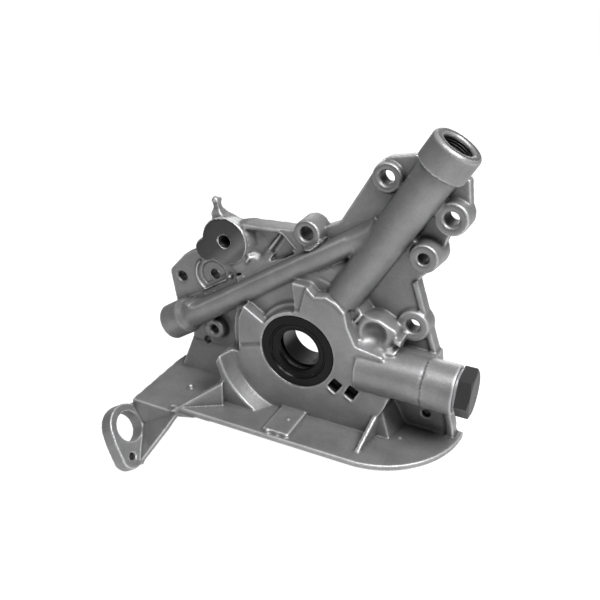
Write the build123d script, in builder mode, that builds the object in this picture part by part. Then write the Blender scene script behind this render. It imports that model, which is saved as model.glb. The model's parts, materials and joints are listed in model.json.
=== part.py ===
import math
import os

from build123d import *

os.makedirs("parts", exist_ok=True)

# All sizes are millimetres. The origin is on the crank axis at the face that
# bolts to the engine block. +X is right seen from the front, +Z is up and the
# front of the pump looks towards -Y. "f" is the distance in front of the block.

# Crank, seal and gears
SEAL_R = 25.0
SEAL_WIDTH = 8.0
SEAL_SINK = 0.5
SEAL_WALL = 2.5
LIP_R = 13.9
BORE_R = 15.5
BORE_FLATS = 28.9
MODULE = 3.0
TEETH_IN = 15
TEETH_OUT = 20
PRESSURE_ANGLE = math.radians(27)
ADDENDUM = 0.93 * MODULE
DEDENDUM = 1.1 * MODULE
BACKLASH = 0.10
RING_WALL = 3.2
RING_FIT = 0.08
GEAR_BACK = 7.0
GEAR_FRONT = 17.0
GEAR_SIDE = 0.04
HUB_STEP = 0.6
HUB_BACK = -0.4
CRESCENT_GAP = 0.3
KIDNEY_DEPTH = 1.7

# Cover plate and its screws
COVER_BACK = 2.0
COVER_GAP = 0.3
COVER_RIM = 1.0
SCREW_WALL = 1.2
SCREW_ANGLES = (20, 85, 150, 205, 245, 320)
SCREW_R = 2.5
SCREW_HEAD_R = 4.5
SCREW_LENGTH = 13.0

# Housing levels in front of the block
PLATE = 8.0
TIER = 20.5
TIER_WALL = 6.5
TIER_DRAFT = 4.5
BODY = 29.5
COLUMN_STEP = 1.2
GUARD = 41.0
SUMP_FACE = -50.0
FLANGE = 4.0
FLANGE_FRONT = 60.0

# Oil tubes
TUBE_F = 18.0
TUBE_START = (25.6, 39.5)
TUBE_END = (85.9, 142.5)
TUBE_R = (10.5, 12.2)
TUBE_BORE_R = 7.0
HEAD_R = 15.0
HEAD_LENGTH = 17.0
HEAD_ROUND = 1.6
PORT_R = 9.3
PORT_CHAMFER = 1.2
PORT_DEPTH = 16.0
GALLERY_F = 16.0
GALLERY_START = (-103.2, -10.3)
GALLERY_END = (42.0, 85.4)
GALLERY_R = (9.8, 7.6)
GALLERY_BOSS_R = 12.5
GALLERY_BOSS_LENGTH = 16.0
GALLERY_PASSAGE_R = 4.5
GALLERY_PLUG_R = 7.0
GALLERY_PLUG_LENGTH = 6.0

# Relief valve
RELIEF_F = 20.0
RELIEF_Z = -3.5
RELIEF_R = 15.0
RELIEF_COLLAR = 20.0
RELIEF_START = 40.0
RELIEF_END = 102.0
RELIEF_BORE_R = 8.0
RELIEF_SEAT = 46.0
SPILL_R = 3.2
PLUNGER_FIT = 0.04
PLUNGER_LENGTH = 24.0
PLUG_SHANK_R = 10.0
PLUG_SHANK = 14.0
WASHER = 1.5
WASHER_R = 13.0
HEX_FLATS = 27.0
HEX_LENGTH = 8.5
SPRING_GAP = 2.0
WIRE_R = 0.8
SPRING_COILS = 9

# Shallow bowl beside the crank seal
DISH = (48.0, 21.5)
DISH_F = 22.0
DISH_R = 8.5

# Suction inlet on the sump face
INLET = (10.0, -17.5)
INLET_R = 9.0
INLET_SCREWS = 16.0
M6_TAP_R = 2.5

# Tilted bracket with the eye
EYE = (-103.3, -72.9, -63.2)
EYE_TILT = 33.2
EYE_HOLE_R = 10.4
EYE_R = 15.9
EYE_PLATE = 10.3

# Sizes that follow from these
PITCH_IN = MODULE * TEETH_IN / 2
PITCH_OUT = MODULE * TEETH_OUT / 2
OFFSET = PITCH_OUT - PITCH_IN
TIP_IN = PITCH_IN + ADDENDUM
ROOT_IN = PITCH_IN - DEDENDUM
TIP_OUT = PITCH_OUT - ADDENDUM
ROOT_OUT = PITCH_OUT + DEDENDUM
RING_R = ROOT_OUT + RING_WALL
HUB_R = ROOT_IN - HUB_STEP
SCREW_CIRCLE = RING_R + RING_FIT + SCREW_WALL + SCREW_R
COVER_R = SCREW_CIRCLE + SCREW_HEAD_R + COVER_GAP + COVER_RIM
TIER_R = RING_R + OFFSET + TIER_WALL
SEAL_FRONT = BODY - SEAL_SINK
SEAL_BACK = SEAL_FRONT - SEAL_WIDTH
FLANGE_TOP = SUMP_FACE + FLANGE
SPILL_X = RELIEF_SEAT + 7.0
SPRING_R = RELIEF_BORE_R - SPRING_GAP - WIRE_R


def front(f):
    return Plane.XZ.offset(f)


def facet(corners):
    return Face(Wire.make_polygon([Vector(*corner) for corner in corners], close=True))


def slab(points, f_from, f_to, mode=Mode.ADD):
    face = facet([(x, -f_from, z) for x, z in points])
    extrude(face, amount=f_to - f_from, dir=(0, -1, 0), mode=mode)


def level_face(points, z):
    return facet([(x, y, z) for x, y in points])


def forward_cone(x, z, f_from, f_to, r_from, r_to, mode=Mode.ADD):
    with Locations(Location((x, -f_from, z), (90, 0, 0))):
        if r_from == r_to:
            Cylinder(r_from, f_to - f_from, align=(Align.CENTER, Align.CENTER, Align.MIN), mode=mode)
        else:
            Cone(r_from, r_to, f_to - f_from, align=(Align.CENTER, Align.CENTER, Align.MIN), mode=mode)


def bolt_hole(x, z, f_top, r, chamfer_r):
    depth = chamfer_r - r
    forward_cone(x, z, -1, f_top + 1, r, r, mode=Mode.SUBTRACT)
    forward_cone(x, z, f_top - depth, f_top + 1, r, chamfer_r + 1, mode=Mode.SUBTRACT)


def toward(start, end):
    length = math.dist(start, end)
    return (end[0] - start[0]) / length, (end[1] - start[1]) / length


def point_on(start, end, distance):
    ux, uz = toward(start, end)
    return start[0] + ux * distance, start[1] + uz * distance


def flat_tube(start, end, f, r_start, r_end, mode=Mode.ADD):
    ux, uz = toward(start, end)
    with Locations(Plane(origin=(start[0], -f, start[1]), z_dir=(ux, 0, uz))):
        if r_start == r_end:
            Cylinder(r_start, math.dist(start, end), align=(Align.CENTER, Align.CENTER, Align.MIN), mode=mode)
        else:
            Cone(r_start, r_end, math.dist(start, end), align=(Align.CENTER, Align.CENTER, Align.MIN), mode=mode)


def strip(start, end, half_start, half_end, f_from, f_to, mode=Mode.ADD):
    ux, uz = toward(start, end)
    corners = [
        (start[0] - uz * half_start, start[1] + ux * half_start),
        (end[0] - uz * half_end, end[1] + ux * half_end),
        (end[0] + uz * half_end, end[1] - ux * half_end),
        (start[0] + uz * half_start, start[1] - ux * half_start),
    ]
    slab(corners, f_from, f_to, mode)


def web(corners, thickness):
    first, second, third = (Vector(*p) for p in corners[:3])
    normal = (second - first).cross(third - first).normalized()
    extrude(facet(corners), amount=thickness, dir=normal)


# Gear teeth


def involute(base_r, r):
    angle = math.acos(base_r / r)
    return math.tan(angle) - angle


def tooth_outline(pitch_r, half_angle, r_low, r_high):
    base_r = pitch_r * math.cos(PRESSURE_ANGLE)
    first_r = max(r_low, base_r)
    flank = []
    for step in range(5):
        r = first_r + (r_high - first_r) * step / 4
        flank.append((r, half_angle + involute(base_r, pitch_r) - involute(base_r, r)))
    upper = [(r * math.cos(a), r * math.sin(a)) for r, a in flank]
    lower = [(x, -y) for x, y in reversed(upper)]
    inner = (r_low - 1.0) * math.cos(flank[0][1])
    side = upper[0][1] * (r_low - 1.0) / first_r
    with BuildSketch() as tooth:
        with BuildLine():
            Spline(*upper)
            ThreePointArc(upper[-1], (r_high, 0), lower[0])
            Spline(*lower)
            Polyline(lower[-1], (inner, -side), (inner, side), upper[0])
        make_face()
    return tooth.sketch


tooth_in = tooth_outline(PITCH_IN, math.pi / (2 * TEETH_IN) - BACKLASH / (2 * PITCH_IN), ROOT_IN, TIP_IN)
space_out = tooth_outline(PITCH_OUT, math.pi / (2 * TEETH_OUT), TIP_OUT, ROOT_OUT)

with BuildPart() as inner_gear:
    with BuildSketch(front(GEAR_BACK + GEAR_SIDE)):
        Circle(ROOT_IN)
        with PolarLocations(0, TEETH_IN):
            add(tooth_in)
    extrude(amount=GEAR_FRONT - GEAR_BACK - 2 * GEAR_SIDE)
    forward_cone(0, 0, HUB_BACK, GEAR_BACK + 1, HUB_R, HUB_R)
    with BuildSketch(front(HUB_BACK - 1)):
        Circle(BORE_R)
        Rectangle(2 * BORE_R, BORE_FLATS, rotation=55, mode=Mode.INTERSECT)
    extrude(amount=GEAR_FRONT - HUB_BACK + 2, mode=Mode.SUBTRACT)
inner_gear.part.label = "inner_gear"
export_step(inner_gear.part, "parts/inner_gear.step")

with BuildPart() as outer_gear:
    with BuildSketch(front(GEAR_BACK + GEAR_SIDE)):
        with Locations((-OFFSET, 0)):
            Circle(RING_R)
            Circle(TIP_OUT, mode=Mode.SUBTRACT)
    extrude(amount=GEAR_FRONT - GEAR_BACK - 2 * GEAR_SIDE)
    with BuildSketch(front(GEAR_BACK)):
        with Locations((-OFFSET, 0)):
            with PolarLocations(0, TEETH_OUT):
                add(space_out)
    extrude(amount=GEAR_FRONT - GEAR_BACK, mode=Mode.SUBTRACT)
outer_gear.part.label = "outer_gear"
export_step(outer_gear.part, "parts/outer_gear.step")


# Cover plate behind the gears, held by countersunk screws


def screw_places():
    for angle in SCREW_ANGLES:
        a = math.radians(angle)
        yield -OFFSET + SCREW_CIRCLE * math.cos(a), SCREW_CIRCLE * math.sin(a)


HEAD_DEPTH = SCREW_HEAD_R - SCREW_R

with BuildPart() as cover_plate:
    forward_cone(-OFFSET, 0, COVER_BACK, GEAR_BACK, COVER_R, COVER_R)
    forward_cone(0, 0, COVER_BACK - 1, GEAR_BACK + 1, HUB_R + 0.4, HUB_R + 0.4, mode=Mode.SUBTRACT)
    for x, z in screw_places():
        forward_cone(x, z, COVER_BACK - 1, GEAR_BACK + 1, SCREW_R + 0.25, SCREW_R + 0.25, mode=Mode.SUBTRACT)
        forward_cone(x, z, COVER_BACK, COVER_BACK + HEAD_DEPTH + 0.3, SCREW_HEAD_R + 0.3, SCREW_R, mode=Mode.SUBTRACT)
cover_plate.part.label = "cover_plate"
export_step(cover_plate.part, "parts/cover_plate.step")

with BuildPart() as cover_screws:
    for x, z in screw_places():
        forward_cone(x, z, COVER_BACK + 0.2, COVER_BACK + 0.2 + HEAD_DEPTH, SCREW_HEAD_R, SCREW_R)
        forward_cone(x, z, COVER_BACK + 1, COVER_BACK + SCREW_LENGTH, SCREW_R, SCREW_R)
        with BuildSketch(front(COVER_BACK)):
            with Locations((x, z)):
                RegularPolygon(1.9, 6)
        extrude(amount=2.4, mode=Mode.SUBTRACT)
cover_screws.part.label = "cover_screws"
export_step(cover_screws.part, "parts/cover_screws.step")

# Crank seal: steel ring, rubber body and garter spring

RUBBER = 0.7
CASE_OUT = SEAL_R - RUBBER
CASE_FRONT = SEAL_FRONT - 1.0
CASE_WALL = 1.0
CASE_IN = (SEAL_R + LIP_R) / 2 - 1.45
GARTER_WIRE = 0.75
GARTER_R = CASE_IN - 0.7
GARTER_F = SEAL_BACK + 2.6
LIP_F = SEAL_BACK + 4.0


def seal_ring(points):
    revolve(level_face([(r, -f) for r, f in points], 0), axis=Axis.Y)


with BuildPart() as seal_case:
    seal_ring([
        (CASE_OUT, SEAL_BACK), (CASE_OUT, CASE_FRONT), (CASE_IN, CASE_FRONT),
        (CASE_IN, CASE_FRONT - CASE_WALL), (CASE_OUT - CASE_WALL, CASE_FRONT - CASE_WALL),
        (CASE_OUT - CASE_WALL, SEAL_BACK),
    ])
seal_case.part.label = "seal_case"
export_step(seal_case.part, "parts/seal_case.step")

with BuildPart() as seal_body:
    seal_ring([
        (SEAL_R, SEAL_BACK), (SEAL_R, SEAL_FRONT - 0.4), (SEAL_R - 0.4, SEAL_FRONT),
        (CASE_IN + 1.8, SEAL_FRONT), (CASE_IN + 1.2, SEAL_FRONT - 0.8), (LIP_R + 2.1, SEAL_FRONT - 1.6),
        (LIP_R + 0.5, SEAL_FRONT - 1.4), (LIP_R + 1.5, LIP_F + 1.4), (LIP_R, LIP_F + 0.4), (LIP_R, LIP_F),
        (LIP_R + 1.3, LIP_F - 2.6), (GARTER_R, LIP_F - 2.6), (GARTER_R + 0.3, LIP_F), (CASE_IN, LIP_F + 0.6),
        (CASE_IN, CASE_FRONT), (CASE_OUT, CASE_FRONT), (CASE_OUT, SEAL_BACK),
    ])
    with Locations(Location((0, -GARTER_F, 0), (90, 0, 0))):
        Torus(GARTER_R, GARTER_WIRE + 0.1, mode=Mode.SUBTRACT)
seal_body.part.label = "seal_body"
export_step(seal_body.part, "parts/seal_body.step")

with BuildPart() as seal_garter_spring:
    with Locations(Location((0, -GARTER_F, 0), (90, 0, 0))):
        Torus(GARTER_R, GARTER_WIRE)
seal_garter_spring.part.label = "seal_garter_spring"
export_step(seal_garter_spring.part, "parts/seal_garter_spring.step")

# Relief valve: plunger, spring, plug and washer


def along_x(x):
    return Location((x, -RELIEF_F, RELIEF_Z), (0, 90, 0))


def x_cylinder(x_from, x_to, r, mode=Mode.ADD):
    with Locations(along_x(x_from)):
        Cylinder(r, x_to - x_from, align=(Align.CENTER, Align.CENTER, Align.MIN), mode=mode)


PLUG_BACK = RELIEF_END - PLUG_SHANK
SPRING_FROM = RELIEF_SEAT + 4.0
SPRING_TO = PLUG_BACK
HEAD_FROM = RELIEF_END + WASHER

with BuildPart() as relief_plunger:
    x_cylinder(RELIEF_SEAT, RELIEF_SEAT + PLUNGER_LENGTH, RELIEF_BORE_R - PLUNGER_FIT)
    chamfer(relief_plunger.faces().sort_by(Axis.X)[0].edges(), 0.8)
    x_cylinder(SPRING_FROM, RELIEF_SEAT + PLUNGER_LENGTH + 1, SPRING_R + WIRE_R + 0.4, mode=Mode.SUBTRACT)
    with BuildSketch(Plane.XY.offset(RELIEF_Z)):
        with Locations((RELIEF_SEAT + 7, -RELIEF_F + RELIEF_BORE_R), (RELIEF_SEAT + 7, -RELIEF_F - RELIEF_BORE_R)):
            Rectangle(1.2, 0.8)
    revolve(axis=Axis((0, -RELIEF_F, RELIEF_Z), (1, 0, 0)), mode=Mode.SUBTRACT)
relief_plunger.part.label = "relief_plunger"
export_step(relief_plunger.part, "parts/relief_plunger.step")

with BuildPart() as relief_spring:
    rise = SPRING_TO - SPRING_FROM - 2 * WIRE_R
    with BuildLine() as coil:
        Helix(rise / SPRING_COILS, rise, SPRING_R, center=(SPRING_FROM + WIRE_R, -RELIEF_F, RELIEF_Z),
              direction=(1, 0, 0))
    with BuildSketch(coil.line ^ 0):
        RegularPolygon(WIRE_R, 8)
    sweep(is_frenet=True)
relief_spring.part.label = "relief_spring"
export_step(relief_spring.part, "parts/relief_spring.step")

with BuildPart() as relief_plug:
    x_cylinder(PLUG_BACK, HEAD_FROM, PLUG_SHANK_R)
    with BuildSketch(Plane.YZ.offset(HEAD_FROM)):
        with Locations((-RELIEF_F, RELIEF_Z)):
            RegularPolygon(HEX_FLATS / 2, 6, major_radius=False, rotation=8)
    extrude(amount=HEX_LENGTH)
    turned = [(PLUG_BACK - 1, 0), (PLUG_BACK - 1, PLUG_SHANK_R + 1), (HEAD_FROM, PLUG_SHANK_R + 1), (HEAD_FROM, 20),
              (HEAD_FROM + HEX_LENGTH - 2.6, 20), (HEAD_FROM + HEX_LENGTH, 12.8), (HEAD_FROM + HEX_LENGTH, 0)]
    revolve(level_face([(x, -RELIEF_F - r) for x, r in turned], RELIEF_Z),
            axis=Axis((0, -RELIEF_F, RELIEF_Z), (1, 0, 0)), mode=Mode.INTERSECT)
relief_plug.part.label = "relief_plug"
export_step(relief_plug.part, "parts/relief_plug.step")

with BuildPart() as relief_plug_washer:
    x_cylinder(RELIEF_END, HEAD_FROM, WASHER_R)
    x_cylinder(RELIEF_END - 1, HEAD_FROM + 1, PLUG_SHANK_R + 0.3, mode=Mode.SUBTRACT)
relief_plug_washer.part.label = "relief_plug_washer"
export_step(relief_plug_washer.part, "parts/relief_plug_washer.step")

# Plug in the outer end of the gallery

with BuildPart() as gallery_plug:
    inner_end = point_on(GALLERY_START, GALLERY_END, 1 + GALLERY_PLUG_LENGTH)
    flat_tube(point_on(GALLERY_START, GALLERY_END, 1), inner_end, GALLERY_F, GALLERY_PLUG_R, GALLERY_PLUG_R)
    ux, uz = toward(GALLERY_START, GALLERY_END)
    socket = point_on(GALLERY_START, GALLERY_END, 0)
    with BuildSketch(Plane(origin=(socket[0], -GALLERY_F, socket[1]), z_dir=(ux, 0, uz))):
        RegularPolygon(3.4, 6)
    extrude(amount=5, mode=Mode.SUBTRACT)
gallery_plug.part.label = "gallery_plug"
export_step(gallery_plug.part, "parts/gallery_plug.step")


# Housing

PLATE_OUTLINE = [
    (-99, FLANGE_TOP), (-92.6, -24.4), (-90, -10), (-103.8, 0.7), (-103.2, 4.7), (-106.6, 24.4), (-106.5, 27.6),
    (-94.7, 40.7), (-86.6, 45.3), (-80, 52), (-76, 62), (-72, 72), (-64, 74), (-54, 70.5), (-46, 72.8), (-11, 75), (6, 78),
    (16.7, 83.2), (35.6, 116.9), (44, 127), (60.5, 130.5), (91.5, 120.5), (94.5, 100), (84, 88), (77, 66),
    (68.1, 56), (87.3, 2.3), (99.9, -38.2), (101, FLANGE_TOP),
]
BODY_OUTLINE = [
    (-42, -30), (-42, 14.5), (-38.4, 23.7), (-23.6, 14.6), (-18, 20), (-2.2, 26), (-5, 46.8), (6.2, 46.3),
    (10.8, 41.6), (18.9, 43.2), (25.2, 40.2), (31, 35.1), (33.4, 25.3), (38.6, 15.1), (44, 4.3),
    (64, 2), (64, -13), (60, -25), (55, -35), (50, FLANGE_TOP), (-40, FLANGE_TOP),
]
BOSSES = [
    (45.5, 116, 12, 9, 10, 4.3, 5.7),
    (85.5, 99.5, 16, 9.8, 10.2, 4.4, 5.6),
    (73, 75, 20, 8.7, 10.5, 3.45, 4.2),
    (68.5, 26.9, 12, 10, 11, 4.4, 5.5),
    (-1, 75.3, 17, 8.7, 8.9, 4.4, 5.5),
    (-70, -9, 15, 7.4, 8.4, 3.0, 4.2),
]
STUD_BOSS = (-59.5, 58.8, 16)
STUD_R = 16.5
STUD_PAD = 3.0
LOBE = (-73.5, 50.5)


def add_plate():
    slab(PLATE_OUTLINE, 0, PLATE)
    slab([(96.5, FLANGE_TOP), (95.6, -38), (84, 2), (65, 54), (68.1, 56), (87.3, 2.3), (99.9, -38.2),
          (101, FLANGE_TOP)], 0, 9.6)
    slab([(-106.6, 24.4), (-106.5, 27.6), (-94.7, 40.7), (-86.6, 45.3), (-66, 48), (-52, 36), (-103.2, 4.7)], 0, 10)
    slab([(-52, 70.5), (-46, 72.8), (-11, 75), (6, 66), (-7, 54), (-40, 36), (-46, 50)], 0, 14)
    loft([level_face([(-92.6, 0), (-50, 0), (-50, -8.5), (-92.6, -8.5)], -24.4),
          level_face([(-99, 0), (-50, 0), (-50, -13.5), (-99, -13.5)], FLANGE_TOP)], ruled=True)
    strip((-68, 68), (-71, 83.2), 4.4, 3.0, 0, 9)


def add_flange():
    with BuildSketch(Plane.XY.offset(SUMP_FACE)) as shelf:
        with BuildLine():
            Polyline((105.3, 0), (-48.2, 0), (-48.2, -41), (-79, -FLANGE_FRONT), (50, -FLANGE_FRONT))
            EllipticalCenterArc((50, 0), 55.3, FLANGE_FRONT, start_angle=270, arc_size=90)
        make_face()
    extrude(shelf.sketch, amount=FLANGE_TOP - SUMP_FACE, dir=(0, 0, 1))
    arm = [(0, -105.4, -50, -46), (13, -106.1, -50, -46), (40, -107.7, -50, -48.25), (61, -108.9, -54.4, -50)]
    loft([facet([(left, -f, low), (-48.2, -f, low), (-48.2, -f, high), (left, -f, high)])
          for f, left, low, high in arm], ruled=True)


def add_body():
    forward_cone(0, 0, 0, TIER, TIER_R + TIER_DRAFT, TIER_R)
    slab(BODY_OUTLINE, 0, BODY)
    forward_cone(0, 0, 0, BODY, SEAL_R + SEAL_WALL + 1, SEAL_R + SEAL_WALL)
    left_slope = level_face([(-42, -BODY), (-47, -TIER), (-47, 0), (-42, 0)], -30)
    extrude(left_slope, amount=44.5, dir=(0, 0, 1))


def trim_sump_face():
    with Locations((0, -FLANGE_FRONT / 2, SUMP_FACE)):
        Box(119, FLANGE_FRONT + 20, 20, align=(Align.CENTER, Align.CENTER, Align.MAX), mode=Mode.SUBTRACT)


def add_guard():
    slab([(-51, -11), (-53.5, -16), (-50, -27), (-56.6, FLANGE_TOP), (-16, FLANGE_TOP), (-20, -30), (-40, -11)],
         0, GUARD)
    forward_cone(0, 0, BODY, GUARD + 0.01, 48.7, 51.5, mode=Mode.SUBTRACT)


def add_tubes():
    tube_top = point_on(TUBE_START, TUBE_END, math.dist(TUBE_START, TUBE_END) - HEAD_LENGTH)
    flat_tube(TUBE_START, tube_top, TUBE_F, *TUBE_R)
    strip(TUBE_START, tube_top, *TUBE_R, 0, TUBE_F)
    round_from = point_on(tube_top, TUBE_END, HEAD_LENGTH - HEAD_ROUND)
    flat_tube(tube_top, round_from, TUBE_F, HEAD_R, HEAD_R)
    flat_tube(round_from, TUBE_END, TUBE_F, HEAD_R, HEAD_R - HEAD_ROUND)
    boss_end = point_on(GALLERY_START, GALLERY_END, GALLERY_BOSS_LENGTH)
    flat_tube(GALLERY_START, boss_end, GALLERY_F, GALLERY_BOSS_R, GALLERY_BOSS_R)
    flat_tube(boss_end, GALLERY_END, GALLERY_F, *GALLERY_R)
    strip(boss_end, GALLERY_END, *GALLERY_R, 0, GALLERY_F)


def add_relief():
    x_cylinder(RELIEF_START, RELIEF_END, RELIEF_R - 0.9)
    x_cylinder(RELIEF_START, RELIEF_END - RELIEF_COLLAR, RELIEF_R)
    x_cylinder(RELIEF_END - RELIEF_COLLAR + 1.2, RELIEF_END, RELIEF_R + 0.5)
    half = RELIEF_R - 0.5
    slab([(RELIEF_START, RELIEF_Z - half), (90, RELIEF_Z - half), (86, RELIEF_Z + half),
          (RELIEF_START, RELIEF_Z + half)], 0, RELIEF_F)
    slab([(33, 25), (38, 12), (57, 9), (62, 16), (62, 26), (50, 32), (38, 32)], 0, DISH_F)
    slab([(38, 15.1), (56, 12.3), (60, 16.5), (61, 22), (66, 22), (65, 16), (60, 8), (44, 4)], 0, DISH_F + 3)


def add_bosses():
    for x, z, f, r_top, r_base, hole_r, chamfer_r in BOSSES:
        forward_cone(x, z, 0, f - 0.8, r_base, r_top)
        forward_cone(x, z, f - 0.8, f, r_top, r_top - 0.8)
    x, z, f = STUD_BOSS
    forward_cone(x, z, 0, f - STUD_PAD, STUD_R - 4, STUD_R - 1)
    forward_cone(x, z, f - STUD_PAD, f, STUD_R - 0.6, STUD_R)
    forward_cone(LOBE[0], LOBE[1], 0, f, 8.6, 8)


def add_webs():
    strip((54, 86), (72, 75.5), 3.6, 3.6, 0, 15)
    web([(-48.2, -41, -28.4), (-79, -FLANGE_FRONT, -49.5), (-48.2, -41, -49.5)], 4)
    web([(54, -BODY + 3, -28.4), (50, -51, -45.5), (54, -BODY + 3, -45.5)], 3)
    with Locations((-1, -43, FLANGE_TOP + 1.2)):
        Box(18, 28, 2.4)
    loft([level_face([(50, -5), (70, -5), (65, -29), (50, -29)], FLANGE_TOP),
          level_face([(50, -5), (60, -5), (58, -25), (50, -25)], -30)], ruled=True)


def eye_plane():
    tilt = math.radians(EYE_TILT)
    return Plane(origin=EYE, x_dir=(0, -1, 0), z_dir=(math.cos(tilt), 0, math.sin(tilt)))


def add_bracket():
    plane = eye_plane()
    outline = [(-15.9, -10.5), (-15.3, 4.8), (-14, 7.7), (6.2, 26.9), (9, 24), (18, 21.8), (19.8, 17.2), (17.7, 3.6),
               (14.7, -6.3), (0, -14)]
    extrude(facet([plane.from_local_coords((a, b, 0)) for a, b in outline]), amount=EYE_PLATE, dir=-plane.z_dir)
    with Locations(plane):
        Cylinder(EYE_R, EYE_PLATE, align=(Align.CENTER, Align.CENTER, Align.MAX))
    upper, middle, lower = (plane.from_local_coords(p) for p in ((-11.9, -10.5, -1), (-11.3, 4.8, -1), (9, 24, -1)))
    join = Vector(-72, -61, -50)
    for corners in ((upper, join, middle), (middle, join, lower)):
        extrude(facet(corners), amount=4.5, dir=(0.2, 0.86, -0.47))


def cut_bolt_holes():
    for x, z, f, r_top, r_base, hole_r, chamfer_r in BOSSES:
        bolt_hole(x, z, f, hole_r, chamfer_r)
    bolt_hole(-97.5, 23.6, 10, 3.15, 4.8)
    forward_cone(-71.5, 30.5, 8.6, 12, 9.8, 9.8, mode=Mode.SUBTRACT)
    bolt_hole(-71.5, 30.5, 8.6, 3.15, 3.9)
    x, z, f = STUD_BOSS
    forward_cone(x, z, 2, f + 1, 4.3, 4.3, mode=Mode.SUBTRACT)
    with Locations(eye_plane()):
        Cylinder(EYE_HOLE_R, 40, mode=Mode.SUBTRACT)
    with Locations(eye_plane()):
        with Locations((11.1, 17.1)):
            Cylinder(2.6, 40, mode=Mode.SUBTRACT)


def cut_pockets():
    slab([(-41, 69.5), (-20, 71), (-31, 58)], 9, 15, mode=Mode.SUBTRACT)
    slab([(-17, 70), (-7, 61), (-17, 55), (-29, 50)], 9, 15, mode=Mode.SUBTRACT)
    slab([(-6.5, 48), (5.5, 47.5), (1.2, 28.4), (-2.6, 28.4)], BODY - COLUMN_STEP, BODY + 1, mode=Mode.SUBTRACT)
    with Locations((DISH[0], -DISH_F - 3, DISH[1])):
        Sphere(DISH_R, mode=Mode.SUBTRACT)
    strip((-41, -6), (-26.5, -1.2), 1.5, 1.5, BODY - 0.8, BODY + 1, mode=Mode.SUBTRACT)
    forward_cone(-79.9, -22.7, PLATE - 2, PLATE + 5, 2.6, 3.2, mode=Mode.SUBTRACT)
    forward_cone(81.6, -34.8, PLATE - 4, PLATE + 5, 2.8, 3, mode=Mode.SUBTRACT)
    for r, angle in ((32, -33), (42.8, -27)):
        a = math.radians(angle)
        with Locations(Location((r * math.cos(a), -BODY, r * math.sin(a)), (0, -angle, 0))):
            Box(7, 14, 8.5, mode=Mode.SUBTRACT)


def cut_seal_and_gears():
    forward_cone(0, 0, SEAL_BACK - 0.5, BODY + 1, SEAL_R, SEAL_R, mode=Mode.SUBTRACT)
    forward_cone(0, 0, GEAR_FRONT - 1, SEAL_BACK, 17, 17, mode=Mode.SUBTRACT)
    forward_cone(-OFFSET, 0, -1, GEAR_BACK, COVER_R + COVER_GAP, COVER_R + COVER_GAP, mode=Mode.SUBTRACT)
    with BuildSketch(front(GEAR_BACK - 0.5)) as ring_pocket:
        with Locations((-OFFSET, 0)):
            Circle(RING_R + RING_FIT)
            Circle(TIP_OUT - CRESCENT_GAP, mode=Mode.SUBTRACT)
    extrude(ring_pocket.sketch, amount=GEAR_FRONT - GEAR_BACK + 0.5, dir=(0, -1, 0), mode=Mode.SUBTRACT)
    forward_cone(0, 0, GEAR_BACK - 0.5, GEAR_FRONT, TIP_IN + CRESCENT_GAP, TIP_IN + CRESCENT_GAP, mode=Mode.SUBTRACT)
    for x, z in screw_places():
        forward_cone(x, z, GEAR_BACK - 1, COVER_BACK + SCREW_LENGTH + 0.5, SCREW_R, SCREW_R, mode=Mode.SUBTRACT)


def cut_passages():
    tube_low = point_on(TUBE_START, TUBE_END, -4)
    flat_tube(tube_low, TUBE_END, TUBE_F, TUBE_BORE_R, TUBE_BORE_R, mode=Mode.SUBTRACT)
    length = math.dist(TUBE_START, TUBE_END)
    mouth = point_on(TUBE_START, TUBE_END, length + 1)
    flat_tube(point_on(TUBE_START, TUBE_END, length - PORT_DEPTH), mouth, TUBE_F, PORT_R, PORT_R, mode=Mode.SUBTRACT)
    flat_tube(point_on(TUBE_START, TUBE_END, length - PORT_CHAMFER), mouth, TUBE_F, PORT_R, PORT_R + PORT_CHAMFER + 1,
              mode=Mode.SUBTRACT)
    flat_tube(GALLERY_START, GALLERY_END, GALLERY_F, GALLERY_PASSAGE_R, GALLERY_PASSAGE_R, mode=Mode.SUBTRACT)
    flat_tube(point_on(GALLERY_START, GALLERY_END, -1), point_on(GALLERY_START, GALLERY_END, 1 + GALLERY_PLUG_LENGTH),
              GALLERY_F, GALLERY_PLUG_R, GALLERY_PLUG_R, mode=Mode.SUBTRACT)
    x_cylinder(RELIEF_SEAT, RELIEF_END + 1, RELIEF_BORE_R, mode=Mode.SUBTRACT)
    x_cylinder(RELIEF_SEAT - 3, RELIEF_SEAT + 1, 5.5, mode=Mode.SUBTRACT)
    x_cylinder(PLUG_BACK, RELIEF_END + 1, PLUG_SHANK_R, mode=Mode.SUBTRACT)
    flat_tube((26, 38), (RELIEF_SEAT - 1.5, RELIEF_Z), 17.5, 2.5, 2.5, mode=Mode.SUBTRACT)
    forward_cone(SPILL_X, RELIEF_Z, -1, RELIEF_F - 4, SPILL_R, SPILL_R, mode=Mode.SUBTRACT)
    forward_cone(PLUG_BACK - 3, RELIEF_Z, -1, RELIEF_F - 4, 1.5, 1.5, mode=Mode.SUBTRACT)
    with Locations((8, -21.2, 32.5)):
        Box(12, 7.5, 7, mode=Mode.SUBTRACT)
    with Locations(Plane(origin=(10, -21.2, 33), z_dir=(16, 3, 6))):
        Cylinder(4.2, 18, align=(Align.CENTER, Align.CENTER, Align.MIN), mode=Mode.SUBTRACT)
    with Locations((INLET[0], INLET[1], SUMP_FACE - 1)):
        Cylinder(INLET_R, 12.5, align=(Align.CENTER, Align.CENTER, Align.MIN), mode=Mode.SUBTRACT)
    with Locations((INLET[0], -21.5, -34)):
        Box(2 * INLET_R, 8, 10, mode=Mode.SUBTRACT)
    for side in (-1, 1):
        with Locations((INLET[0] + side * INLET_SCREWS, INLET[1], SUMP_FACE)):
            Cylinder(M6_TAP_R, 16, mode=Mode.SUBTRACT)


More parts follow.
